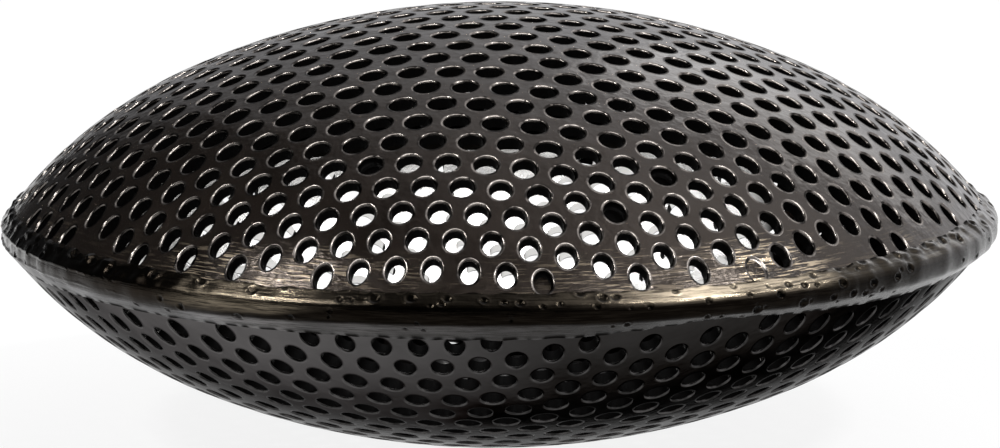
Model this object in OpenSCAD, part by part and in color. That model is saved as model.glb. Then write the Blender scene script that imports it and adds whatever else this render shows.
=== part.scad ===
// Percussion shaker: two dished discs of perforated steel sheet, joined by a weld bead
// round the rim, with a charge of loose steel shot between them.
// Millimetres. Z is the axis, the lower crown rests on Z = 0, the front faces -Y.

/* [Shell] */
// Overall diameter, across the weld bead
rim_d = 122; // [112:0.5:132]
// Outside radius of the middle of the upper dish
upper_crown_r = 95; // [90:0.5:104]
// Outside radius of the middle of the lower dish
lower_crown_r = 95.5; // [90:0.5:104]
// Outside radius of the dish next to the rim, over the radius of its middle
rim_tight = 0.81; // [0.78:0.01:0.9]
// Sheet thickness
sheet_t = 1.5; // [1:0.05:2]

/* [Perforation] */
// Hole diameter
hole_d = 3.175; // [2.6:0.005:3.4]
// Distance between hole centres, in the flat sheet
hole_pitch = 4.7625; // [4.5:0.0005:5.5]
// Turn of the upper sheet's rows about the axis, in degrees
upper_turn = -8; // [-30:0.1:30]
// Offset of the upper sheet's pattern from the axis, left to right
upper_dx = -2.1; // [-2.4:0.05:2.4]
// Offset of the upper sheet's pattern from the axis, front to back
upper_dy = -0.85; // [-2.4:0.05:2.4]
// Turn of the lower sheet's rows about the axis, in degrees
lower_turn = -11.5; // [-30:0.1:30]
// Offset of the lower sheet's pattern from the axis, left to right
lower_dx = -0.2; // [-2.4:0.05:2.4]
// Offset of the lower sheet's pattern from the axis, front to back
lower_dy = -1; // [-2.4:0.05:2.4]

/* [Weld] */
// Radius of the ground nose of the bead
bead_r = 2.9; // [2.6:0.05:3.4]
// How far the bead is ground back from the edge where the two outer faces would meet
bead_cut = 0.2; // [0:0.05:0.3]
// Width of the root, between the two sheet edges
root_gap = 1.6; // [1.2:0.05:2.4]

/* [Shot] */
// Diameter of one steel ball
shot_d = 4.5; // [4:0.05:5]
// Space between neighbouring balls at rest
shot_space = 0.4; // [0.3:0.05:0.8]
// Clearance between a resting ball and the lower dish
rest_gap = 0.1; // [0.05:0.05:0.3]

/* [Hidden] */
$fn = 128;
BLACK = [0.17, 0.165, 0.165];
GROUND = [0.33, 0.29, 0.26];
STEEL = [0.66, 0.66, 0.68];
edge_r = rim_d / 2 + bead_cut;
bead_c = rim_d / 2 - bead_r;
rows = ceil(edge_r * 1.2 / hole_pitch / cos(30));
shot_pitch = shot_d + shot_space;
roll_r = lower_crown_r - sheet_t - rest_gap - shot_d / 2;

// A dish is raised in four round bands, each tighter than the one inside it
band_end = edge_r * [0, 0.68, 0.8, 0.9, 1];
band_mix = [0, 0.45, 0.78, 1];

// Outside radius of band k of a dish with crown radius c
function band_r(c, k) = c * (1 - (1 - rim_tight) * band_mix[k]);
// Height of a point at radius x on band k, over the centre of that band
function rise(c, k, x) = sqrt(pow(band_r(c, k), 2) - x * x);
// Height of band k's centre over the joint of the two dishes
function band_z(c, k) = k == 3 ? -rise(c, 3, edge_r)
    : band_z(c, k + 1) + rise(c, k + 1, band_end[k + 1]) - rise(c, k, band_end[k + 1]);
// Height of the crown over the joint
function depth(c) = band_z(c, 0) + c;
// Lean of the sheet's normal from the axis, at the inner and outer end of band k
function lean_in(c, k) = asin(band_end[k] / band_r(c, k));
function lean_out(c, k) = asin(band_end[k + 1] / band_r(c, k));
// Length along the dish from the crown to the start of band k
function start_s(c, k) = k == 0 ? 0
    : start_s(c, k - 1) + band_r(c, k - 1) * (lean_out(c, k - 1) - lean_in(c, k - 1)) * PI / 180;
// Band that holds the point at length s from the crown
function band_at(c, s) = s < start_s(c, 1) ? 0 : s < start_s(c, 2) ? 1 : s < start_s(c, 3) ? 2 : 3;
// Lean of the normal at length s from the crown, on band k
function lean(c, k, s) = lean_in(c, k) + (s - start_s(c, k)) / band_r(c, k) * 180 / PI;
// Lean of the normal where the edge of the bead meets the dish
function bead_far(c) = norm([bead_c, band_z(c, 3)]);
function bead_lean(c) = atan2(bead_c, -band_z(c, 3))
    - acos((pow(band_r(c, 3), 2) + pow(bead_far(c), 2) - bead_r * bead_r) / (2 * band_r(c, 3) * bead_far(c)));
// Length along the dish from the crown to the edge of the bead
function bead_s(c) = start_s(c, 3) + band_r(c, 3) * (bead_lean(c) - lean_in(c, 3)) * PI / 180;

// Radius of a dish's trimmed edge, at its inner face
function trim_r(c) = sqrt(pow(band_r(c, 3) - sheet_t, 2) - pow(root_gap / 2 - band_z(c, 3), 2));
// Inner radius of the weld's root, just inside the trimmed edges
root_in = min(trim_r(upper_crown_r), trim_r(lower_crown_r)) - 0.3;

// A dish filled solid, crown up, with its face moved in by t
module filled(c, t) {
    intersection() {
        translate([0, 0, band_z(c, 0)]) sphere(band_r(c, 0) - t);
        translate([0, 0, band_z(c, 1)]) sphere(band_r(c, 1) - t);
        translate([0, 0, band_z(c, 2)]) sphere(band_r(c, 2) - t);
        translate([0, 0, band_z(c, 3)]) sphere(band_r(c, 3) - t);
    }
}

// One bore, square to the sheet, at length s from the crown in direction a
module bore(c, s, a) {
    k = band_at(c, s);
    translate([0, 0, band_z(c, k)]) rotate([0, lean(c, k, s), a]) difference() {
        cylinder(h = band_r(c, k) + 1, d = hole_d, $fn = 48);
        translate([0, 0, -1]) cylinder(h = band_r(c, k) - sheet_t, d = hole_d + 1, $fn = 48);
    }
}

// All bores of a dish: staggered rows in the flat, carried over by length along the dish
module bores(c, turn, dx, dy) {
    for (i = [-rows : rows], j = [-rows : rows]) {
        u = hole_pitch * (i + j / 2);
        v = hole_pitch * j * sin(60);
        x = u * cos(turn) - v * sin(turn) + dx;
        y = u * sin(turn) + v * cos(turn) + dy;
        if (norm([x, y]) < bead_s(c) - hole_d / 2 - 0.15) bore(c, norm([x, y]), atan2(y, x));
    }
}

// One dish with its perforations, crown up, joint on Z = 0
module dish(c, turn, dx, dy) {
    difference() {
        filled(c, 0);
        filled(c, sheet_t);
        translate([-rim_d, -rim_d, root_gap / 2 - 2 * rim_d]) cube(2 * rim_d);
        bores(c, turn, dx, dy);
    }
}

// Space that one dish takes out of the bead, crown up
module bead_seat(c) {
    intersection() {
        translate([0, 0, band_z(c, 2)]) sphere(band_r(c, 2), $fn = 256);
        translate([0, 0, band_z(c, 3)]) sphere(band_r(c, 3), $fn = 256);
        translate([-rim_d, -rim_d, root_gap / 2]) cube(2 * rim_d);
    }
}

// One ball of the charge, at a place in the close-packed layer that lies in the lower dish
module ball(i, j) {
    x = shot_pitch * (i + j / 2);
    y = shot_pitch * j * sin(60);
    translate([x, y, lower_crown_r - sqrt(roll_r * roll_r - x * x - y * y)]) sphere(d = shot_d);
}

module upper_dome() {
    color(BLACK) translate([0, 0, depth(lower_crown_r)])
        dish(upper_crown_r, upper_turn, upper_dx, upper_dy);
}

module lower_dome() {
    color(BLACK) translate([0, 0, depth(lower_crown_r)]) mirror([0, 0, 1])
        dish(lower_crown_r, lower_turn, lower_dx, lower_dy);
}

// The weld: a ground bead outside, and the root between the two sheet edges
module rim_weld() {
    color(GROUND) translate([0, 0, depth(lower_crown_r)]) difference() {
        rotate_extrude($fn = 256) translate([bead_c, 0]) circle(bead_r);
        bead_seat(upper_crown_r);
        mirror([0, 0, 1]) bead_seat(lower_crown_r);
        cylinder(h = rim_d, r = root_in, center = true, $fn = 256);
    }
}

module shot_01() {
    color(STEEL) ball(0, 0);
}

module shot_02() {
    color(STEEL) ball(1, 0);
}

module shot_03() {
    color(STEEL) ball(0, 1);
}

module shot_04() {
    color(STEEL) ball(-1, 1);
}

module shot_05() {
    color(STEEL) ball(-1, 0);
}

module shot_06() {
    color(STEEL) ball(0, -1);
}

module shot_07() {
    color(STEEL) ball(1, -1);
}

module shot_08() {
    color(STEEL) ball(2, 0);
}

module shot_09() {
    color(STEEL) ball(1, 1);
}

module shot_10() {
    color(STEEL) ball(0, 2);
}

module shot_11() {
    color(STEEL) ball(-1, 2);
}

module shot_12() {
    color(STEEL) ball(-2, 2);
}

module shot_13() {
    color(STEEL) ball(-2, 1);
}

module shot_14() {
    color(STEEL) ball(-2, 0);
}

module shot_15() {
    color(STEEL) ball(-1, -1);
}

module shot_16() {
    color(STEEL) ball(0, -2);
}

module shot_17() {
    color(STEEL) ball(1, -2);
}

module shot_18() {
    color(STEEL) ball(2, -2);
}

module shot_19() {
    color(STEEL) ball(2, -1);
}

module shot_20() {
    color(STEEL) ball(3, 0);
}

module shot_21() {
    color(STEEL) ball(2, 1);
}

module shot_22() {
    color(STEEL) ball(1, 2);
}

module shot_23() {
    color(STEEL) ball(0, 3);
}

module shot_24() {
    color(STEEL) ball(-1, 3);
}

module shot_25() {
    color(STEEL) ball(-2, 3);
}

module shot_26() {
    color(STEEL) ball(-3, 3);
}

module shot_27() {
    color(STEEL) ball(-3, 2);
}

module shot_28() {
    color(STEEL) ball(-3, 1);
}

module shot_29() {
    color(STEEL) ball(-3, 0);
}

module shot_30() {
    color(STEEL) ball(-2, -1);
}

module shot_31() {
    color(STEEL) ball(-1, -2);
}

module shot_32() {
    color(STEEL) ball(0, -3);
}

module shot_33() {
    color(STEEL) ball(1, -3);
}

module shot_34() {
    color(STEEL) ball(2, -3);
}

module shot_35() {
    color(STEEL) ball(3, -3);
}

module shot_36() {
    color(STEEL) ball(3, -2);
}

module shot_37() {
    color(STEEL) ball(3, -1);
}

upper_dome();
lower_dome();
rim_weld();
shot_01();
shot_02();
shot_03();
shot_04();
shot_05();
shot_06();
shot_07();
shot_08();
shot_09();
shot_10();
shot_11();
shot_12();
shot_13();
shot_14();
shot_15();
shot_16();
shot_17();
shot_18();
shot_19();
shot_20();
shot_21();
shot_22();
shot_23();
shot_24();
shot_25();
shot_26();
shot_27();
shot_28();
shot_29();
shot_30();
shot_31();
shot_32();
shot_33();
shot_34();
shot_35();
shot_36();
shot_37();
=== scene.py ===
import math
from collections import Counter
import bpy
import numpy as np
from mathutils import Matrix, Vector
from mathutils.geometry import delaunay_2d_cdt


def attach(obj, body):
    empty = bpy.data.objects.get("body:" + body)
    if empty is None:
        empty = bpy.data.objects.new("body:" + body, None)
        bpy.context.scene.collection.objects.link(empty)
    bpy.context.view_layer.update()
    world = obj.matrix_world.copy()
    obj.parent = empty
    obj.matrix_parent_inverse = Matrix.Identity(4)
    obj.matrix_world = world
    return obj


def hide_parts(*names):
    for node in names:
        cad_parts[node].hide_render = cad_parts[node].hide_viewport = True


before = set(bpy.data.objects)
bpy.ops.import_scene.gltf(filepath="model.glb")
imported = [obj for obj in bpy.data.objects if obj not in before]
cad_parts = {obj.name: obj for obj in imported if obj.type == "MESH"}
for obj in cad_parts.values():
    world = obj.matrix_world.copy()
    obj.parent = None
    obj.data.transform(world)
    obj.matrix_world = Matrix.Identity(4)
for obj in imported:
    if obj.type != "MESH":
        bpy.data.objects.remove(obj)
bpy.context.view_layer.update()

# Sizes in millimetres, the same as in the part
MM = 0.001
RIM_D = 122.0
UPPER_R, LOWER_R = 95.0, 95.5
RIM_TIGHT = 0.81
ARC_ENDS = np.array([0, 0.68, 0.8, 0.9, 1.0])  # ends of a dish's four arcs, as shares of its edge radius
ARC_TIGHT = np.array([0, 0.45, 0.78, 1.0])  # how far each arc has gone from the crown's curve to the rim's
SHEET_T = 1.5
HOLE_D = 3.175
PITCH = 4.7625
SIN60 = math.sin(math.radians(60))
UPPER_ROWS, LOWER_ROWS = (-8.0, -2.1, -0.85), (-11.5, -0.2, -1.0)  # turn of the rows of holes, and offsets
BEAD_R, BEAD_CUT, ROOT_GAP = 2.9, 0.2, 1.6
EDGE_R = RIM_D / 2 + BEAD_CUT
BEAD_C = RIM_D / 2 - BEAD_R

# Looks of the dishes
COAT, INSIDE, WALL, WORN = range(4)  # material slots
# Rings of a hole, from its worn edge down its wall: out from the wall, and up from the outer face
LIP = [(0.4, 0.0), (0.16, 0.02), (0.0, -0.24), (0.0, -SHEET_T)]
FOOT, SHOULDER, MOUTH, BACK = range(len(LIP))
HOLES_OVER = 1.2  # how far holes reach under the bead
HOLE_SPREAD = 0.02  # how much holes differ
KNEE = 1.2  # length before the bead at which the inner face starts to run to its own trimmed edge
WORN_FROM, WORN_OVER = 5.5, 2.5  # the coat's ground edge: length before the bead, and width
SIDE_PARTS = 4  # parts of one side of the six-sided cell round a hole
RING = 6 * SIDE_PARTS
FIRST_CORNER = 30  # degrees from the rows of holes to the first corner of a cell
LATTICE = 12  # steps from hole to hole in which the outlines of cells are counted
SHEET_REACH = 1.2 * EDGE_R  # more than the length of a sheet from its crown to its edge
RIM_PARTS = 360  # parts of a trimmed edge
RIM_CLEAR = 0.4  # least gap between free points and the trimmed edge
UV_R, UV_OUTER, UV_INNER = 0.28, 0.29, 0.71  # radius of a face on the UV map, and middles of both faces
# Upper cells closed by a skin: the ring that the skin closes, and the skin's material. Skins of the coat are
# weld or coat that filled the hole; the black skins of the wall material are painted shade deep in holes.
CLOSED = {
    (11, -15): (BACK, COAT),
    (15, -12): (MOUTH, COAT),
    (11, -12): (BACK, WALL),
    (4, -11): (BACK, WALL),
    (11, -10): (BACK, WALL),
}

# Looks of the weld
AROUND, ACROSS = 1680, 44  # parts round the rim, and over the bead
UPPER_CREASE = 20.0  # where the upper facet ends, in degrees over the middle of the bead
LEAST_SKIN, LEAST_FLOOR = 0.04, 0.03  # least weld over the sheet, and under a pore
ROOT_PAST = 0.3  # how far the root stands in past the sheets
RANDOM_PORES = 110
# Pores: degrees round the rim from the front towards the right, degrees over the bead's middle, radius, depth
PORES = [
    (36.1, 23, 0.45, 0.3), (37.8, 19, 0.35, 0.25), (41.5, 14, 0.5, 0.35), (43.1, -15, 0.4, 0.3),
    (40.1, -16, 0.35, 0.25), (35.8, -19, 0.5, 0.35), (32.7, 10, 0.45, 0.35), (23.6, -28, 0.35, 0.25),
    (25.4, -32, 0.3, 0.2), (29.7, -22, 0.5, 0.35), (14.3, -35, 0.35, 0.25), (11.6, 38, 0.55, 0.4),
    (45.1, -21, 0.35, 0.25), (46.3, 0, 0.45, 0.3), (50.5, 2, 0.4, 0.3), (53.1, 15, 0.45, 0.3),
    (-37.7, -23, 0.4, 0.3), (-30.1, -36, 0.5, 0.3),
]
DISH_SEED, WELD_SEED = 5, 11
TINY = 1e-9


class Profile:
    """Half section of a dish: radius, height over the joint and lean, by length along the sheet."""

    STEP = 0.02
    SOFT = 3.5  # half width over which two arcs run into each other
    SPARE = 3  # length past the edge

    def __init__(self, crown_r):
        ends = EDGE_R * ARC_ENDS
        radii = crown_r * (1 - (1 - RIM_TIGHT) * ARC_TIGHT)
        centre = np.zeros(4)
        centre[3] = -math.sqrt(radii[3] ** 2 - EDGE_R**2)
        for k in (2, 1, 0):
            x = ends[k + 1]
            joined_at = centre[k + 1] + math.sqrt(radii[k + 1] ** 2 - x * x)
            centre[k] = joined_at - math.sqrt(radii[k] ** 2 - x * x)
        lean_in = np.arcsin(ends[:4] / radii)
        lean_out = np.arcsin(ends[1:] / radii)
        starts = np.r_[0, np.cumsum(radii * (lean_out - lean_in))]
        self.depth = centre[0] + crown_r
        # Length at which the bead meets the outer face
        far = math.hypot(BEAD_C, centre[3])
        meet = (radii[3] ** 2 + far**2 - BEAD_R**2) / (2 * radii[3] * far)
        self.bead_s = starts[3] + radii[3] * (math.atan2(BEAD_C, -centre[3]) - math.acos(meet) - lean_in[3])
        # The lean along the arcs, smoothed where they join, gives radius and height
        self.arc = np.arange(0, starts[4] + self.SPARE, self.STEP)
        part = np.clip(np.searchsorted(starts, self.arc, side="right") - 1, 0, 3)
        lean = lean_in[part] + (self.arc - starts[part]) / radii[part]
        half = int(self.SOFT / self.STEP)
        kernel = np.hanning(2 * half + 3)[1:-1]
        after = lean[-1] + np.arange(1, half + 1) * self.STEP / radii[3]
        self.lean = np.convolve(np.r_[-lean[half:0:-1], lean, after], kernel / kernel.sum(), "valid")
        middle = (self.lean[1:] + self.lean[:-1]) / 2
        self.radius = np.r_[0, np.cumsum(np.cos(middle) * self.STEP)]
        self.height = self.depth - np.r_[0, np.cumsum(np.sin(middle) * self.STEP)]

    def at(self, s):
        """Radius, height and lean of the outer face at length s."""
        return tuple(np.interp(s, self.arc, value) for value in (self.radius, self.height, self.lean))

    def trim(self, inset):
        """Length at which the sheet, inset from its outer face, reaches its trimmed edge."""
        return float(np.interp(-ROOT_GAP / 2, -(self.height - inset * np.cos(self.lean)), self.arc))

    def place(self, x, y, lift):
        """Points and outward normals for flat places x, y, lifted off the outer face."""
        s = np.hypot(x, y)
        r, z, lean = self.at(s)
        ux, uy = x / np.maximum(s, TINY), y / np.maximum(s, TINY)
        normals = np.stack([np.sin(lean) * ux, np.sin(lean) * uy, np.cos(lean)], -1)
        r, z = r + lift * np.sin(lean), z + lift * np.cos(lean)
        return np.stack([r * ux, r * uy, z], -1), normals


UPPER, LOWER = Profile(UPPER_R), Profile(LOWER_R)
JOINT_Z = LOWER.depth


def make(name, points, groups, materials):
    """A mesh object from points in millimetres, with heights from the joint.

    Each group holds faces, normals and UVs of their corners, and a material slot.
    """
    corners = np.concatenate([faces.ravel() for faces, *_ in groups]).astype(np.int32)
    sizes = np.concatenate([np.full(len(faces), faces.shape[1]) for faces, *_ in groups])
    normals = np.concatenate([n.reshape(-1, 3) for _, n, *_ in groups])
    places = np.concatenate([uv.reshape(-1, 2) for _, _, uv, _ in groups])
    slots = np.concatenate([np.full(len(faces), slot) for faces, _, _, slot in groups])
    mesh = bpy.data.meshes.new(name)
    mesh.vertices.add(len(points))
    mesh.vertices.foreach_set("co", ((points + np.array([0, 0, JOINT_Z])) * MM).astype(np.float32).ravel())
    mesh.loops.add(len(corners))
    mesh.loops.foreach_set("vertex_index", corners)
    mesh.polygons.add(len(sizes))
    mesh.polygons.foreach_set("loop_start", np.r_[0, np.cumsum(sizes)[:-1]].astype(np.int32))
    mesh.polygons.foreach_set("material_index", slots.astype(np.int32))
    mesh.update(calc_edges=True)
    mesh.polygons.foreach_set("use_smooth", np.ones(len(sizes), bool))
    uv_map = mesh.uv_layers.new(name="OFBake")
    uv_map.data.foreach_set("uv", places.astype(np.float32).ravel())
    mesh.normals_split_custom_set((normals / np.linalg.norm(normals, axis=1, keepdims=True)).tolist())
    for material in materials:
        mesh.materials.append(material)
    piece = bpy.data.objects.new(name, mesh)
    bpy.context.scene.collection.objects.link(piece)
    return piece


def ground_and_highlight(deg):
    """How far the rim is ground bright, by degrees from the front towards the right; it is high only where
    the lamps catch the rim, so it is partly painted highlight.
    """
    places = [-42, -33, -23, -16, 4, 12, 19, 34, 42]
    return np.interp(deg, places, [0.02, 0.31, 0.31, 0.05, 0.05, 0.2, 0.95, 0.95, 0.06])


# Dishes


def lattice_points():
    """All points of the lattice of holes that can lie on a sheet."""
    most = math.ceil(SHEET_REACH / PITCH / SIN60)
    return [(i, j) for i in range(-most, most + 1) for j in range(-most, most + 1)]


def flat(i, j, rows):
    """Place on the flat sheet of lattice point i, j."""
    turn, dx, dy = rows
    c, s = math.cos(math.radians(turn)), math.sin(math.radians(turn))
    u, v = PITCH * (i + j / 2), PITCH * j * SIN60
    return u * c - v * s + dx, u * s + v * c + dy


def nearest(x, y, rows):
    """The lattice point nearest to a place on the flat sheet."""
    turn, dx, dy = rows
    c, s = math.cos(math.radians(turn)), math.sin(math.radians(turn))
    j_at = (-(x - dx) * s + (y - dy) * c) / (PITCH * SIN60)
    i_at = ((x - dx) * c + (y - dy) * s) / PITCH - j_at / 2
    i_low, j_low = math.floor(i_at), math.floor(j_at)

    def gap(point):
        i_off, j_off = point[0] - i_at, point[1] - j_at
        return i_off**2 + j_off**2 + i_off * j_off

    return min(((i, j) for i in (i_low, i_low + 1) for j in (j_low, j_low + 1)), key=gap)


def cell_outline():
    """The outline of one six-sided cell, in lattice steps."""
    corners = LATTICE // 3 * np.array([(1, 1), (-1, 2), (-2, 1), (-1, -1), (1, -2), (2, -1)])
    outline = []
    for a, b in zip(corners, np.roll(corners, -1, 0)):
        outline += [tuple(a + (b - a) * part // SIDE_PARTS) for part in range(SIDE_PARTS)]
    return outline


def flat_sheet(profile, rows):
    """The sheet laid flat: cells with holes, their outlines, points, the trimmed edge and the plain band.

    Outlines, edge and band hold numbers of points.
    """
    edge_s = profile.trim(0)
    reach = profile.bead_s - HOLE_D / 2 + HOLES_OVER
    far = {(i, j): math.hypot(*flat(i, j, rows)) for i, j in lattice_points()}
    cells = [cell for cell in far if far[cell] < reach]

    # Points of the outlines, shared between neighbouring cells
    numbers = {}
    outlines = []
    outline = cell_outline()
    for i, j in cells:
        steps = [(LATTICE * i + a, LATTICE * j + b) for a, b in outline]
        outlines.append([numbers.setdefault(step, len(numbers)) for step in steps])
    outlines = np.array(outlines)
    steps = np.array(list(numbers)) / LATTICE
    x, y = flat(steps[:, 0], steps[:, 1], rows)

    # The band lies between the sides of cells that have no neighbour and the trimmed edge
    sides = Counter(frozenset(side) for row in outlines for side in zip(row, np.roll(row, -1)))
    border = [tuple(side) for side, uses in sides.items() if uses == 1]
    rim = len(x) + np.arange(RIM_PARTS)
    bearing = np.arange(RIM_PARTS) * 2 * math.pi / RIM_PARTS
    free = [flat(*cell, rows) for cell in far if reach <= far[cell] < edge_s - RIM_CLEAR]
    free = np.array(free).reshape(-1, 2)
    x = np.r_[x, edge_s * np.cos(bearing), free[:, 0]]
    y = np.r_[y, edge_s * np.sin(bearing), free[:, 1]]
    used = sorted({v for side in border for v in side}) + list(range(rim[0], len(x)))
    local = {v: k for k, v in enumerate(used)}
    fence = [(local[a], local[b]) for a, b in border + list(zip(rim, np.roll(rim, -1)))]
    places = [Vector((x[v], y[v])) for v in used]
    _, _, triangles, came_from, _, _ = delaunay_2d_cdt(places, fence, [], 0, 1e-6)
    holes = set(cells)
    band = []
    for triangle in triangles:
        ids = [used[came_from[v][0]] for v in triangle]
        if nearest(np.mean(x[ids]), np.mean(y[ids]), rows) not in holes:
            band.append(ids)
    return cells, outlines, x, y, rim, np.array(band)


def squeeze(s):
    """Radii of a dished and coated hole, along the slope and round the dish, by its place on the sheet."""
    starts, over, power = 25, 40, 2.2
    coated, longer, narrower = 0.945, 0.06, 0.285
    rim = np.clip((s - starts) / over, 0, 1.1) ** power
    return HOLE_D / 2 * (coated + longer * rim), HOLE_D / 2 * (coated - narrower * rim)


def hole_rings(profile, rows, cells, rng):
    """Points, sheet normals and flat places of each ring of the holes, and the ways out from their middles.

    The last value says how far each way out runs down the slope of the dish.
    """
    mid_x, mid_y = flat(np.array([i for i, _ in cells]), np.array([j for _, j in cells]), rows)
    mid_s = np.hypot(mid_x, mid_y)
    mid_r, _, mid_lean = profile.at(mid_s)
    bearing = np.arctan2(mid_y, mid_x)
    spin = np.radians(rows[0] + FIRST_CORNER + np.arange(RING) * 360 / RING)
    along = np.cos(spin[None] - bearing[:, None])
    across = np.sin(spin[None] - bearing[:, None])
    stretch = np.where(mid_r > TINY, mid_s / np.maximum(mid_r, TINY), 1.0)[:, None]
    outward = np.stack([np.cos(bearing), np.sin(bearing)], -1)
    sideways = np.stack([-np.sin(bearing), np.cos(bearing)], -1)
    down_slope = np.concatenate([np.cos(mid_lean)[:, None] * outward, -np.sin(mid_lean)[:, None]], -1)
    round_dish = np.concatenate([sideways, np.zeros((len(cells), 1))], -1)
    ways_out = along[..., None] * down_slope[:, None] + across[..., None] * round_dish[:, None]
    slope_r, round_r = (radius * rng.normal(1, HOLE_SPREAD, len(cells)) for radius in squeeze(mid_s))
    rings = []
    for wider, lift in LIP:
        a = (slope_r[:, None] + wider) * along
        b = (round_r[:, None] + wider) * across * stretch
        x = mid_x[:, None] + a * outward[:, :1] + b * sideways[:, :1]
        y = mid_y[:, None] + a * outward[:, 1:] + b * sideways[:, 1:]
        rings.append((*profile.place(x, y, lift), np.stack([x, y], -1)))
    points, normals, places = (list(values) for values in zip(*rings))
    # The UVs of the wall lie inside the hole, where the flat sheet has nothing
    middle = np.stack([mid_x, mid_y], -1)[:, None]
    places[BACK] = middle + 0.5 * (places[MOUTH] - middle)
    return points, normals, places, ways_out, along


def strip(first, second, slot):
    """Quads from one ring of each hole to the next; rings are given as point numbers, normals and UVs."""
    faces, normals, uvs = (
        np.stack([a, np.roll(a, -1, 1), np.roll(b, -1, 1), b], 2) for a, b in zip(first, second)
    )
    return faces.reshape(-1, 4), normals.reshape(-1, 4, 3), uvs.reshape(-1, 4, 2), slot


def dish(name, profile, rows, side, closed, materials):
    """One perforated dish, with a skin in its closed holes; side is 1 for the upper one, -1 for the lower."""
    cells, outlines, x, y, rim, band = flat_sheet(profile, rows)
    rng = np.random.default_rng(DISH_SEED + side)
    ring_points, ring_n, ring_flat, ways_out, along = hole_rings(profile, rows, cells, rng)

    # Outer and inner faces; the inner one is pulled in towards its own trimmed edge
    outer, outer_n = profile.place(x, y, 0)
    far = np.hypot(x, y)
    knee, edge_s = profile.bead_s - KNEE, profile.trim(0)
    pulled = knee + (far - knee) * (profile.trim(SHEET_T) - knee) / (edge_s - knee)
    pull = np.where(far > knee, pulled / np.maximum(far, TINY), 1)
    inner, inner_n = profile.place(x * pull, y * pull, -SHEET_T)
    to_inner = len(x)
    points = np.concatenate([outer, inner] + [p.reshape(-1, 3) for p in ring_points])
    ring_ids = 2 * len(x) + np.arange(len(LIP) * len(cells) * RING).reshape(len(LIP), -1, RING)

    # The flat sheet is its own UV map
    scale = UV_R / edge_s
    flat_uv = np.stack([x, y], -1) * scale
    outer_uv, inner_uv = flat_uv + UV_OUTER, flat_uv + UV_INNER
    ring_uv = [places * scale + UV_OUTER for places in ring_flat]

    # From the outline of each cell over the lip and down the wall to the inner face
    outline = (outlines, outer_n[outlines], outer_uv[outlines])
    foot = (ring_ids[FOOT], ring_n[FOOT], ring_uv[FOOT])
    shoulder_n = 0.8 * ring_n[SHOULDER] - 0.6 * ways_out
    shoulder = (ring_ids[SHOULDER], shoulder_n, ring_uv[SHOULDER])
    mouth = (ring_ids[MOUTH], -ways_out, ring_uv[MOUTH])
    back = (ring_ids[BACK], -ways_out, ring_uv[BACK])
    inner_ring = (ring_ids[BACK], -ring_n[BACK], ring_flat[MOUTH] * scale + UV_INNER)
    inner_outline = (outlines + to_inner, -inner_n[outlines], inner_uv[outlines])
    # In the lower dish the half of the wall towards the rim missed the coat; the other walls are black as
    # painted shade
    faces, normals, uvs, _ = strip(mouth, back, WALL)
    bare_from = 0.3
    bare = ((along + np.roll(along, -1, 1)).ravel() > bare_from) & (side < 0)
    walls = [(faces[half], normals[half], uvs[half], slot) for half, slot in ((bare, INSIDE), (~bare, WALL))]
    band_back = band[:, ::-1]
    groups = [
        strip(outline, foot, COAT),
        strip(foot, shoulder, WORN if side > 0 else COAT),
        strip(shoulder, mouth, WORN),
        *walls,
        strip(inner_ring, inner_outline, INSIDE),
        (band, outer_n[band], outer_uv[band], COAT),
        (band_back + to_inner, -inner_n[band_back], inner_uv[band_back], INSIDE),
    ]
    for cell, (ring, slot) in closed.items():
        k = [cells.index(cell)]
        groups.append((ring_ids[ring][k], ring_n[ring][k], ring_uv[BACK][k], slot))

    # The trimmed edge, with its UVs just beside those of the outer face
    after = np.roll(rim, -1)
    edge_faces = np.stack([rim, rim + to_inner, after + to_inner, after], -1)
    edge_n = np.tile(np.array([0.0, 0.0, -1.0]), (RIM_PARTS, 4, 1))
    beyond = outer_uv * 1.001
    edge_uv = np.stack([outer_uv[rim], beyond[rim], beyond[after], outer_uv[after]], 1)
    groups.append((edge_faces, edge_n, edge_uv, INSIDE))
    if side < 0:
        flip = np.array([1.0, 1.0, -1.0])
        points = points * flip
        groups = [(f[:, ::-1], (n * flip)[:, ::-1], uv[:, ::-1], slot) for f, n, uv, slot in groups]
    piece = make(name, points, groups, materials)
    worn_r = profile.at(profile.bead_s - WORN_FROM)[0]
    # Ground metal near the rim, scaled by the rim's ground share: partly real grinding, partly painted
    # highlight
    ground = np.clip((np.hypot(points[:, 0], points[:, 1]) - worn_r) / WORN_OVER, 0, 1)
    worn_and_highlight = ground * ground_and_highlight(np.degrees(np.arctan2(points[:, 0], -points[:, 1])))
    piece.data.attributes.new("worn_and_highlight", "FLOAT", "POINT").data.foreach_set("value", worn_and_highlight.astype(np.float32))
    return piece


# Weld: phi and deg go round the rim from the front towards the right, and t over the bead from its upper toe


def wobble(rng, angle, low, high, count):
    """Smooth noise round the rim, of about unit size, from count waves that close on themselves."""
    waves = rng.integers(low, high, count)
    phases = rng.uniform(0, 2 * math.pi, count)
    sizes = rng.normal(0, 1, count)
    total = (sizes[:, None] * np.sin(waves[:, None] * angle[None] + phases[:, None])).sum(0)
    return total / math.sqrt(count / 2)


def bead_toes(rng, phi, deg):
    """Where the bead meets the upper and the lower sheet, from the bead's middle."""
    upper_at, upper_shift = [-60, -30, -10, 10, 18, 38, 50, 70], [0, 0.5, 0.55, 0.55, 0.9, 0.9, 0.3, 0]
    lower_at = [-60, -30, -15, 0, 10, 16, 22, 26, 30, 36, 54]
    lower_shift = [0, -0.3, -0.6, -0.8, -0.7, -0.1, 0.6, 0.8, 0.6, 0.3, 0]
    most = 1.1
    toes = []
    for profile, sign, at, shift in ((UPPER, 1, upper_at, upper_shift), (LOWER, -1, lower_at, lower_shift)):
        toe_s = np.interp(deg, at, shift)
        toe_s = toe_s + 0.12 * wobble(rng, phi, 3, 14, 8) + 0.1 * wobble(rng, phi, 30, 110, 18)
        r, z, _ = profile.at(profile.bead_s + np.clip(toe_s, -most, most))
        toes.append(np.stack([r - BEAD_C, sign * z], -1))
    return toes


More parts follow.
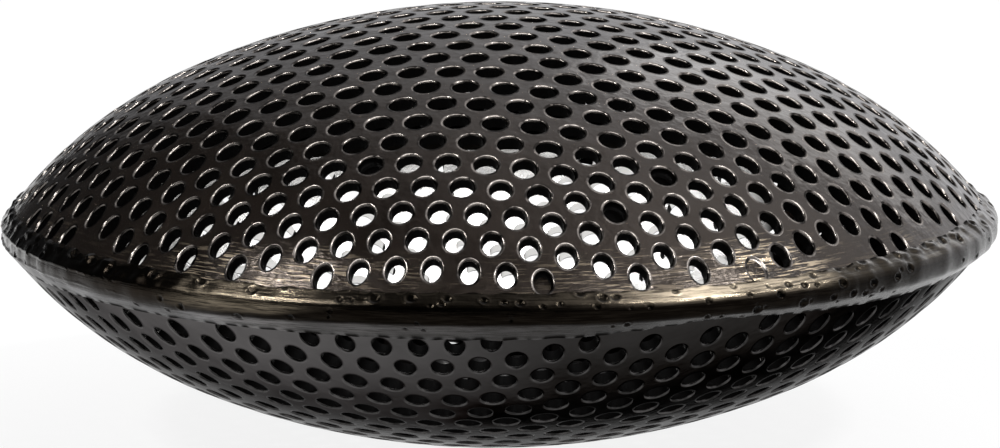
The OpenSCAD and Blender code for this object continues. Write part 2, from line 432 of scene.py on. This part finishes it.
def line_reach(toe, way, ray):
    """How far out the rays meet a line from the toe."""
    level = toe[:, 0] * way[:, 1] - toe[:, 1] * way[:, 0]
    return level[:, None] / (ray[..., 0] * way[:, None, 1] - ray[..., 1] * way[:, None, 0])


def bead_section(rng, phi, deg, t):
    """The bead without pores: angle and distance from its middle, distance of the sheets, lower crease."""
    nose_r = BEAD_R + 0.05 * wobble(rng, phi, 2, 9, 6) + 0.03 * wobble(rng, phi, 20, 70, 14)
    nose_r += np.interp(deg, [-150, -90, -40, 0, 40, 90, 150], [0, -0.5, -0.15, 0, 0.1, 0.25, 0])
    toes = bead_toes(rng, phi, deg)
    turns = [np.arctan2(toe[:, 1], toe[:, 0]) for toe in toes]
    turn = turns[0][:, None] + (turns[1] - turns[0])[:, None] * t[None]
    ray = np.stack([np.cos(turn), np.sin(turn)], -1)
    far = np.repeat(nose_r[:, None], ACROSS + 1, 1)
    sheet = np.zeros_like(far)

    # Ground facets: straight from each toe to a crease on the nose
    upper_crease = np.radians(np.full(AROUND, UPPER_CREASE))
    lower_crease = np.radians(np.interp(deg, [-80, -60, -42, -30, -15, 0], [-15, -30, -41, -35, -28, -27]))
    sheet_from = 0.25  # angle from the nose at which the sheet begins to count, in radians
    for toe, crease, profile, sign in zip(toes, (upper_crease, lower_crease), (UPPER, LOWER), (1, -1)):
        run = nose_r[:, None] * np.stack([np.cos(crease), np.sin(crease)], -1) - toe
        past = sign * turn > sign * crease[:, None]
        far[past] = line_reach(toe, run, ray)[past]
        lean = profile.at(profile.bead_s)[2]
        slope = np.array([[math.cos(lean), -sign * math.sin(lean)]])
        past = sign * turn > sheet_from
        sheet[past] = line_reach(toe, slope, ray)[past]
    for _ in range(5):
        far[:, 1:-1] = 0.25 * far[:, :-2] + 0.5 * far[:, 1:-1] + 0.25 * far[:, 2:]
    far[:, 1:-1] = np.maximum(far, sheet + LEAST_SKIN)[:, 1:-1]

    # Away from the front the weld is left as laid, with drips along its upper toe
    raw = np.interp(np.abs(deg), [32, 46, 130, 160], [0, 1, 1, 0.5])
    for at, width, size in ((0.1, 0.07, 0.16), (0.24, 0.1, 0.12), (0.5, 0.25, 0.04)):
        drips = size * raw * np.clip(0.3 + wobble(rng, phi, 25, 130, 24), -0.3, 1.8)
        far += drips[:, None] * np.exp(-(((t[None] - at) / width) ** 2))
    far[:, 1:-1] = np.maximum(far, sheet + LEAST_SKIN)[:, 1:-1]
    return turn, far, sheet, lower_crease


def all_pores(rng):
    """The pores that show in front, others at random, and the dents of upper holes that the weld closed."""
    pores = list(PORES)
    for _ in range(RANDOM_PORES):
        place = rng.uniform(-180, 180), rng.uniform(-50, 60)
        pores.append((*place, rng.uniform(0.18, 0.36), rng.uniform(0.1, 0.22)))
    for i, j in lattice_points():
        x, y = flat(i, j, UPPER_ROWS)
        past = math.hypot(x, y) - UPPER.bead_s
        if HOLES_OVER - HOLE_D / 2 < past < BEAD_R:
            over = 62 - 12 * max(past, 0)  # lower down on the bead for holes further out
            place = math.degrees(math.atan2(x, -y)), over
            pores.append((*place, rng.uniform(0.4, 0.6), rng.uniform(0.2, 0.4)))
    return pores


def dents(pores, deg, turn):
    """Depth of the pores over the bead, each with a low ring of metal round it."""
    widest = 3  # degrees round the rim
    dent = np.zeros_like(turn)
    for where, over, size, depth in pores:
        off = (deg - where + 180) % 360 - 180
        near = np.abs(off) < widest
        sideways = np.radians(off[near])[:, None] * RIM_D / 2
        gap = np.hypot(sideways, (turn[near] - math.radians(over)) * BEAD_R) / size
        dent[near] += depth * (1.3 * np.exp(-1.6 * gap**4) - 0.18 * np.exp(-6 * (gap - 1.35) ** 2))
    return dent


def bead_coat(rng, phi, deg, t, turn, lower_crease, dent):
    """Colour and roughness: near black on the nose, warm metal on the upper facet, partly painted highlight,
    grey on the lower one, partly painted sheen; pores and toe crevices darkened as painted shade.
    """
    nose_tone = np.array([0.0035, 0.0026, 0.002])
    upper_tone, lower_tone = np.array([0.5, 0.42, 0.31]), np.array([0.047, 0.044, 0.043])
    patch = 1 + 0.3 * wobble(rng, phi, 5, 40, 20)[:, None]
    # The lower facet is lighter on the left and dark on the right: partly real grinding, partly painted sheen
    low_bare_and_sheen = np.interp(deg, [-100, -75, -32, -14, 5, 14], [0.5, 4, 4, 1, 1, 0.15])[:, None]
    ends_at = np.interp(deg, [-60, -44, -26, -16], [8, -32, -22, 8])[:, None]
    # The upper facet's warm metal follows the rim's ground share: partly real grinding, partly painted
    # highlight
    up = np.clip((np.degrees(turn) - ends_at) / 20, 0, 1) * patch * ground_and_highlight(deg)[:, None]
    low = np.clip(np.degrees(lower_crease[:, None] - turn) / 6 + 0.5, 0, 1) * patch * low_bare_and_sheen
    nose = nose_tone * np.interp(deg, [-100, -60, -40, -28], [1, 3.5, 3.5, 1])[:, None, None]
    coat = nose + up[..., None] * (upper_tone - nose) + low[..., None] * (lower_tone - nose)
    rough = 0.17 + 0.12 * up + 0.2 * np.minimum(low, 1)
    # Pores are darkened as painted shade in their hollows
    coat *= (1 - 0.85 * np.clip(dent / 0.1, 0, 1))[..., None]
    # The toes end in lumpy crevices, darkened as painted shade
    for from_toe, share, width in ((1 - t, 0.7, 0.09), (t, 0.4, 0.06)):
        lumps = np.clip(share + 0.6 * wobble(rng, phi, 60, 200, 24), 0, 1)[:, None]
        lumps = lumps * np.exp(-((from_toe[None] / width) ** 2))
        coat *= (1 - 0.95 * lumps)[..., None]
        rough = np.maximum(rough, 0.95 * lumps)
    return np.clip(np.concatenate([coat, rough[..., None]], -1), 0.002, 1)


def round_rim(r, z, phi):
    """Points at radius r and height z."""
    return np.stack(np.broadcast_arrays(r * np.sin(phi), -r * np.cos(phi), z), -1)


def root_section():
    """Corners of the root between the sheets, from the lower toe to the upper one, as radius and height."""
    lower_edge, upper_edge = (profile.at(profile.trim(0))[0] for profile in (LOWER, UPPER))
    inner_edges = []
    for profile in (LOWER, UPPER):
        r, _, lean = profile.at(profile.trim(SHEET_T))
        inner_edges.append(r - SHEET_T * np.sin(lean))
    root_in = min(inner_edges) - ROOT_PAST
    half = ROOT_GAP / 2
    return (lower_edge, -half), (root_in, -half), (root_in, half), (upper_edge, half)


def quad_uvs(u_from, u_to, v):
    """UVs of the quads between u_from and u_to, by rows of v."""
    corners = (u_from, v[:, :-1]), (u_from, v[:, 1:]), (u_to, v[:, 1:]), (u_to, v[:, :-1])
    uvs = [np.stack(np.broadcast_arrays(u[:, None], part), -1) for u, part in corners]
    return np.stack(uvs, 2).reshape(-1, 4, 2)


def weld(name, materials):
    """The ground bead round the rim, with wandering toes, facets, pores and closed holes, and its root."""
    rng = np.random.default_rng(WELD_SEED)
    phi = np.arange(AROUND) * 2 * math.pi / AROUND
    deg = (np.degrees(phi) + 180) % 360 - 180
    t = np.linspace(0, 1, ACROSS + 1)
    turn, far, sheet, lower_crease = bead_section(rng, phi, deg, t)
    dent = dents(all_pores(rng), deg, turn)
    far = far - np.minimum(dent, np.maximum(far - sheet - LEAST_FLOOR, 0))
    coat = bead_coat(rng, phi, deg, t, turn, lower_crease, dent)

    # Closed section: over the bead, then back along the sheets and round the root
    skin = round_rim(BEAD_C + far * np.cos(turn), far * np.sin(turn), phi[:, None])
    root = np.stack([round_rim(r, z, phi) for r, z in root_section()], 1)
    section = np.concatenate([skin, root], 1)
    points = section.reshape(-1, 3)
    ids = np.arange(len(points)).reshape(AROUND, -1)
    beside = np.roll(ids, -1, 0)
    faces = np.stack([ids, np.roll(ids, -1, 1), np.roll(beside, -1, 1), beside], -1)
    bead_faces = faces[:, :ACROSS].reshape(-1, 4)
    root_faces = faces[:, ACROSS:].reshape(-1, 4)

    # Normals: smooth over the bead, flat on the root
    smooth = np.cross(np.gradient(skin, axis=1), np.roll(skin, -1, 0) - np.roll(skin, 1, 0))
    smooth /= np.linalg.norm(smooth, axis=-1, keepdims=True)
    smooth_on = np.roll(smooth, -1, 0)
    bead_n = np.stack([smooth[:, :-1], smooth[:, 1:], smooth_on[:, 1:], smooth_on[:, :-1]], 2)
    bead_n = bead_n.reshape(-1, 4, 3)
    corner = points[root_faces]
    root_n = np.cross(corner[:, 2] - corner[:, 0], corner[:, 3] - corner[:, 1])
    root_n = np.repeat(root_n[:, None], 4, 1)

    # UVs: the bead in eight rows, the root in a narrow strip over them
    rows, bead_top, row_fill = 8, 0.92, 0.9
    root_low, root_tall = 0.94, 0.05
    step = np.arange(AROUND) / AROUND * rows
    row = np.floor(step) / rows * bead_top
    bead_v = row[:, None] + (t * bead_top / rows * row_fill)[None]
    bead_uv = quad_uvs(step % 1, step % 1 + rows / AROUND, bead_v)
    root_v = root_low + root_tall * np.linspace(0, 1, section.shape[1] - ACROSS + 1)
    root_uv = quad_uvs(np.arange(AROUND) / AROUND, (np.arange(AROUND) + 1) / AROUND, root_v[None])
    groups = [(bead_faces, bead_n, bead_uv, 0), (root_faces, root_n, root_uv, 0)]
    piece = make(name, points, groups, materials)
    # The root is near black, as painted shade inside the shell
    root_painted_shade = np.tile([0.01, 0.009, 0.008, 0.4], (AROUND, root.shape[1], 1))
    store = piece.data.attributes.new("coat", "FLOAT_COLOR", "POINT")
    store.data.foreach_set("color", np.concatenate([coat, root_painted_shade], 1).astype(np.float32).ravel())
    return piece


# Materials


def material(name):
    """A new material with its nodes and its shader."""
    mat = bpy.data.materials.new(name)
    mat.use_nodes = True
    tree = mat.node_tree
    return mat, tree, tree.nodes["Principled BSDF"]


def node(tree, kind, **inputs):
    """A new node with some of its inputs set."""
    made = tree.nodes.new(kind)
    for key, value in inputs.items():
        made.inputs[key].default_value = value
    return made


def object_place(tree):
    """Place on the object, in metres."""
    return tree.nodes.new("ShaderNodeTexCoord").outputs["Object"]


def noise(tree, coords, scale, detail, rough=0.55):
    made = node(tree, "ShaderNodeTexNoise", Scale=scale, Detail=detail, Roughness=rough)
    tree.links.new(coords, made.inputs["Vector"])
    return made.outputs["Fac"]


def spread(tree, value, low, high, out_low, out_high):
    """A value from between low and high, taken to between out_low and out_high."""
    made = node(tree, "ShaderNodeMapRange")
    for k, v in zip(("From Min", "From Max", "To Min", "To Max"), (low, high, out_low, out_high)):
        made.inputs[k].default_value = v
    tree.links.new(value, made.inputs["Value"])
    return made.outputs["Result"]


def vary_roughness(tree, shader, cloud, low, high):
    """Roughness between low and high, by noise."""
    tree.links.new(spread(tree, cloud, 0.3, 0.7, low, high), shader.inputs["Roughness"])


def set_or_link(tree, socket, value):
    if isinstance(value, bpy.types.NodeSocket):
        tree.links.new(value, socket)
    else:
        socket.default_value = (*value, 1) if socket.type == "RGBA" else value


def mixed(tree, fac, a, b):
    """Colour between a and b."""
    made = tree.nodes.new("ShaderNodeMix")
    made.data_type = "RGBA"
    set_or_link(tree, made.inputs["Factor"], fac)
    for socket in made.inputs:
        if socket.type == "RGBA":
            set_or_link(tree, socket, a if socket.name == "A" else b)
    return next(o for o in made.outputs if o.type == "RGBA")


def product(tree, a, b):
    made = tree.nodes.new("ShaderNodeMath")
    made.operation = "MULTIPLY"
    set_or_link(tree, made.inputs[0], a)
    set_or_link(tree, made.inputs[1], b)
    return made.outputs[0]


def scaled(tree, vector, by):
    made = tree.nodes.new("ShaderNodeVectorMath")
    made.operation = "MULTIPLY"
    tree.links.new(vector, made.inputs[0])
    made.inputs[1].default_value = by
    return made.outputs["Vector"]


def to_right(tree, place):
    """How far a place lies to the right of the middle."""
    split = tree.nodes.new("ShaderNodeSeparateXYZ")
    tree.links.new(place, split.inputs[0])
    return split.outputs["X"]


def bump(tree, height, strength, distance, normal=None):
    made = node(tree, "ShaderNodeBump", Strength=strength, Distance=distance)
    tree.links.new(height, made.inputs["Height"])
    if normal is not None:
        tree.links.new(normal, made.inputs["Normal"])
    return made.outputs["Normal"]


def plating(name):
    """Dark coat over the upper sheet, ground through along the toe of the weld; the ground metal is laid
    mainly where the lamps catch it, so it is partly painted highlight.
    """
    dark, brown, metal = (0.002, 0.0016, 0.0014), (0.006, 0.0043, 0.0033), (0.66, 0.54, 0.39)
    mat, tree, shader = material(name)
    at = object_place(tree)
    rim = tree.nodes.new("ShaderNodeAttribute")
    rim.attribute_name = "worn_and_highlight"
    scratch = noise(tree, scaled(tree, at, (1, 1, 18)), 260, 3, 0.6)
    # Where the coat is ground through: partly real grinding, partly painted highlight where the lamps catch
    # the rim
    ground = product(tree, rim.outputs["Fac"], spread(tree, noise(tree, at, 90, 2), 0.4, 0.58, 0.1, 1))
    worn_and_highlight = product(tree, ground, spread(tree, scratch, 0.535, 0.61, 0, 1))
    cloud = noise(tree, at, 120, 4)
    fine = noise(tree, at, 900, 2)
    tree.links.new(mixed(tree, worn_and_highlight, mixed(tree, cloud, dark, brown), metal), shader.inputs["Base Color"])
    tree.links.new(worn_and_highlight, shader.inputs["Metallic"])
    vary_roughness(tree, shader, cloud, 0.13, 0.24)
    shader.inputs["Specular IOR Level"].default_value = 0.35
    shader.inputs["Specular Tint"].default_value = (1, 0.84, 0.72, 1)
    soft = bump(tree, cloud, 0.6, 0.0006)
    rubbed = bump(tree, product(tree, scratch, ground), 0.8, 0.0006, soft)
    tree.links.new(bump(tree, fine, 0.2, 0.0002, rubbed), shader.inputs["Normal"])
    return mat


def lower_plating_painted_light(name):
    """The coat of the lower sheet, made darker than the upper one's gloss as painted shade, and lighter
    towards the left as painted reflection.
    """
    lightest_to, darkest_from = -48 * MM, 8 * MM
    mat, tree, shader = material(name)
    at = object_place(tree)
    cloud = noise(tree, at, 120, 4)
    fine = noise(tree, at, 900, 2)
    # Light tones on the left and dark ones on the right, as painted reflection
    thin = mixed(tree, cloud, (0.11, 0.106, 0.106), (0.23, 0.22, 0.22))
    thick = mixed(tree, cloud, (0.019, 0.018, 0.0172), (0.042, 0.04, 0.039))
    darker_to_right = spread(tree, to_right(tree, at), lightest_to, darkest_from, 0, 1)
    tree.links.new(mixed(tree, darker_to_right, thin, thick), shader.inputs["Base Color"])
    vary_roughness(tree, shader, cloud, 0.14, 0.26)
    shader.inputs["Metallic"].default_value = 1.0
    shader.inputs["Specular Tint"].default_value = (0.3, 0.3, 0.3, 1)
    soft = bump(tree, cloud, 0.25, 0.0004)
    tree.links.new(bump(tree, fine, 0.12, 0.0002, soft), shader.inputs["Normal"])
    return mat


def bare_steel(name, colour, low, high, coated=None, right=None):
    """Steel of roughness low to high.

    A dark coat, painted shade seen through the holes, runs out from the crown between the two radii of
    coated, and one on the right, also painted shade, starts at right, both in millimetres.
    """
    coat, right_fade = (0.003, 0.0026, 0.0024), 3
    mat, tree, shader = material(name)
    at = object_place(tree)
    cloud = noise(tree, at, 200, 4)
    shader.inputs["Metallic"].default_value = 1.0
    tone = mixed(tree, cloud, tuple(0.85 * k for k in colour), colour)
    if coated:
        length = tree.nodes.new("ShaderNodeVectorMath")
        length.operation = "LENGTH"
        tree.links.new(scaled(tree, at, (1, 1, 0)), length.inputs[0])
        bare = spread(tree, length.outputs["Value"], coated[0] * MM, coated[1] * MM, 0, 1)
        if right:
            left_of = spread(tree, to_right(tree, at), right * MM, (right + right_fade) * MM, 1, 0)
            bare = product(tree, bare, left_of)
        tone = mixed(tree, bare, coat, tone)
    shader.inputs["Specular Tint"].default_value = (0.15, 0.15, 0.15, 1)
    tree.links.new(tone, shader.inputs["Base Color"])
    vary_roughness(tree, shader, cloud, low, high)
    return mat


def black_painted_shade(name):
    """The coat in the walls of the holes, made black and nearly without reflection as painted shade."""
    mat, _, shader = material(name)
    shader.inputs["Base Color"].default_value = (0.0005, 0.0004, 0.0004, 1)
    shader.inputs["Roughness"].default_value = 0.5
    shader.inputs["Specular IOR Level"].default_value = 0.02
    return mat


def worn_lip(name, dark, light):
    """Coat rubbed thin, in patches, on the rounded edges of the holes."""
    mat, tree, shader = material(name)
    cloud = noise(tree, object_place(tree), 600, 3)
    tree.links.new(mixed(tree, spread(tree, cloud, 0.4, 0.6, 0, 1), dark, light), shader.inputs["Base Color"])
    vary_roughness(tree, shader, cloud, 0.16, 0.3)
    shader.inputs["Metallic"].default_value = 1.0
    shader.inputs["Specular Tint"].default_value = (0.6, 0.6, 0.6, 1)
    return mat


def ground_weld(name):
    """The weld's colours, with the painted shade and highlight in its coat, darkened in the grinding marks.
    """
    mat, tree, shader = material(name)
    at = object_place(tree)
    coat = tree.nodes.new("ShaderNodeAttribute")
    coat.attribute_name = "coat"
    scratch = noise(tree, scaled(tree, at, (1, 1, 20)), 230, 5, 0.7)
    cloud = noise(tree, at, 160, 4)
    marks = spread(tree, scratch, 0.38, 0.56, 0.85, 0)
    tone = mixed(tree, marks, coat.outputs["Color"], (0.01, 0.008, 0.006))
    tree.links.new(tone, shader.inputs["Base Color"])
    rough = product(tree, coat.outputs["Alpha"], spread(tree, cloud, 0.3, 0.7, 0.8, 1.3))
    tree.links.new(rough, shader.inputs["Roughness"])
    shader.inputs["Metallic"].default_value = 1.0
    rubbed = bump(tree, scratch, 0.25, 0.0002)
    tree.links.new(bump(tree, cloud, 0.3, 0.0004, rubbed), shader.inputs["Normal"])
    return mat


STEEL = (0.85, 0.84, 0.82)
SHADED_HOLE_WALL = black_painted_shade("hole_wall_shade")
UPPER_MATERIALS = [
    plating("plated_sheet"),
    bare_steel("upper_inside", STEEL, 0.2, 0.3, coated=(60, 61)),
    SHADED_HOLE_WALL,
    worn_lip("upper_lip", (0.018, 0.016, 0.0145), (0.17, 0.154, 0.141)),
]
LOWER_MATERIALS = [
    lower_plating_painted_light("lower_plated_sheet_painted_light"),
    bare_steel("lower_inside", STEEL, 0.2, 0.3, coated=(36.5, 39.5), right=32),
    SHADED_HOLE_WALL,
    worn_lip("lower_lip", (0.02, 0.0195, 0.019), (0.07, 0.067, 0.066)),
]
WELD = ground_weld("ground_weld")
# The shot is darkened far below bright steel, as painted shade inside the shell
SHOT = bare_steel("shot_steel", (0.1, 0.098, 0.096), 0.3, 0.45)

# The pieces

upper = dish("upper_sheet", UPPER, UPPER_ROWS, 1, CLOSED, UPPER_MATERIALS)
lower = dish("lower_sheet", LOWER, LOWER_ROWS, -1, {}, LOWER_MATERIALS)
bead = weld("weld_bead", [WELD])
for piece, cad_node, slot in (
    (upper, "upper_dome", "plated_sheet"),
    (lower, "lower_dome", "plated_sheet"),
    (bead, "rim_weld", "ground_weld"),
):
    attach(piece, "shell")
    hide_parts(cad_node)
for name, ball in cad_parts.items():
    if name.startswith("shot_"):
        ball.data.materials.clear()
        ball.data.materials.append(SHOT)

# Stage


def seen_directly(tree):
    """1 for rays from the camera, off a shiny surface or through glass."""
    path = tree.nodes.new("ShaderNodeLightPath")
    total = path.outputs["Is Camera Ray"]
    for name in ("Is Glossy Ray", "Is Transmission Ray"):
        add = tree.nodes.new("ShaderNodeMath")
        add.operation = "MAXIMUM"
        tree.links.new(total, add.inputs[0])
        tree.links.new(path.outputs[name], add.inputs[1])
        total = add.outputs[0]
    return total


def floor_white(name):
    """White that partly glows where it is seen directly, so that a shadow on it stays pale."""
    glow_share = 0.87
    mat = bpy.data.materials.new(name)
    mat.use_nodes = True
    tree = mat.node_tree
    tree.nodes.clear()
    plain = node(tree, "ShaderNodeBsdfDiffuse", Color=(0.92, 0.92, 0.92, 1))
    glow = node(tree, "ShaderNodeEmission", Color=(1, 1, 1, 1), Strength=1.0)
    mix = tree.nodes.new("ShaderNodeMixShader")
    tree.links.new(product(tree, seen_directly(tree), glow_share), mix.inputs[0])
    tree.links.new(plain.outputs[0], mix.inputs[1])
    tree.links.new(glow.outputs[0], mix.inputs[2])
    out = tree.nodes.new("ShaderNodeOutputMaterial")
    tree.links.new(mix.outputs[0], out.inputs["Surface"])
    return mat


def studio(name):
    """A room that is light overhead and on the right, and dark in front and on the left."""
    world = bpy.data.worlds.new(name)
    world.use_nodes = True
    tree = world.node_tree
    tree.nodes.clear()
    lean = tree.nodes.new("ShaderNodeVectorMath")
    lean.operation = "DOT_PRODUCT"
    tree.links.new(tree.nodes.new("ShaderNodeTexCoord").outputs["Generated"], lean.inputs[0])
    lean.inputs[1].default_value = (2.0, 0.6, 0.62)
    room = node(tree, "ShaderNodeBackground", Color=(0.98, 0.975, 1, 1))
    tree.links.new(spread(tree, lean.outputs["Value"], 0.04, 1.2, 0.04, 1.25), room.inputs["Strength"])
    out = tree.nodes.new("ShaderNodeOutputWorld")
    tree.links.new(room.outputs[0], out.inputs["Surface"])
    return world


def softbox(name, place, aim, width, height, radiance):
    """A soft lamp of even brightness; places and sizes are in metres."""
    lamp = bpy.data.lights.new(name, "AREA")
    lamp.shape = "RECTANGLE"
    lamp.size, lamp.size_y = width, height
    lamp.energy = radiance * math.pi * width * height
    made = bpy.data.objects.new(name, lamp)
    made.location = place
    made.rotation_euler = (Vector(aim) - Vector(place)).to_track_quat("-Z", "Y").to_euler()
    bpy.context.scene.collection.objects.link(made)
    return made


FLOOR_HALF = 4  # metres
floor_mesh = bpy.data.meshes.new("floor")
floor_corners = [(x * FLOOR_HALF, y * FLOOR_HALF, 0) for x, y in ((-1, -1), (1, -1), (1, 1), (-1, 1))]
floor_mesh.from_pydata(floor_corners, [], [(0, 1, 2, 3)])
floor_mesh.materials.append(floor_white("floor_white"))
floor = bpy.data.objects.new("floor", floor_mesh)
bpy.context.scene.collection.objects.link(floor)
bpy.context.scene.world = studio("studio")

CENTRE = (0, 0, JOINT_Z * MM)
softbox("key_right", (0.5, 0, 0.777), CENTRE, 0.6, 0.6, 0.4)
softbox("back_right", (0.38, 0.75, 0.56), CENTRE, 0.55, 0.42, 1.4)
softbox("fill_left", (-0.67, -0.18, 0.6), CENTRE, 0.25, 0.5, 2.0)
# Two small lamps, for the glints on the lips of the holes
softbox("spot_right", (0.55, -0.3, 0.7), CENTRE, 0.1, 0.1, 140.0)
softbox("spot_left", (-0.55, -0.3, 0.7), CENTRE, 0.1, 0.1, 110.0)
# A lamp in front reaches the upper dish only, and one overhead the lower dish only, past the upper one
front = softbox("front", (0, -0.68, 0.62), CENTRE, 0.9, 0.4, 9.0)
overhead = softbox("overhead", (0, 0.1, 0.8), (0, 0.1, 0), 1.8, 0.75, 10.0)
for lamp, lit in ((front, upper), (overhead, lower)):
    group = bpy.data.collections.new(lamp.name + "_on")
    group.objects.link(lit)
    lamp.light_linking.receiver_collection = group
overhead.light_linking.blocker_collection = overhead.light_linking.receiver_collection

# Camera: found from the rows of holes, the outline and the rim in the photograph
CAMERA_FAR, CAMERA_UP, CAMERA_ROLL = 1.0, math.radians(10.13), math.radians(-0.407)
PHOTO_W, PIXELS_PER_MM = 1000, 8.1592
SENSOR_W = 36
camera_data = bpy.data.cameras.new("camera")
camera_data.sensor_width = SENSOR_W
camera_data.lens = PIXELS_PER_MM / MM * CAMERA_FAR * SENSOR_W / PHOTO_W
camera_data.shift_x, camera_data.shift_y = 0.00265, -0.00135
camera = bpy.data.objects.new("camera", camera_data)
right_way, up_way = Vector((1, 0, 0)), Vector((0, math.sin(CAMERA_UP), math.cos(CAMERA_UP)))
back_way = Vector((0, -math.cos(CAMERA_UP), math.sin(CAMERA_UP)))
rolled = right_way * math.cos(CAMERA_ROLL) + up_way * math.sin(CAMERA_ROLL)
upright = up_way * math.cos(CAMERA_ROLL) - right_way * math.sin(CAMERA_ROLL)
facing = Matrix((rolled, upright, back_way)).transposed().to_4x4()
camera.matrix_world = Matrix.Translation(Vector(CENTRE) + back_way * CAMERA_FAR) @ facing
bpy.context.scene.collection.objects.link(camera)
bpy.context.scene.camera = camera
bpy.context.scene.view_settings.view_transform = "Standard"
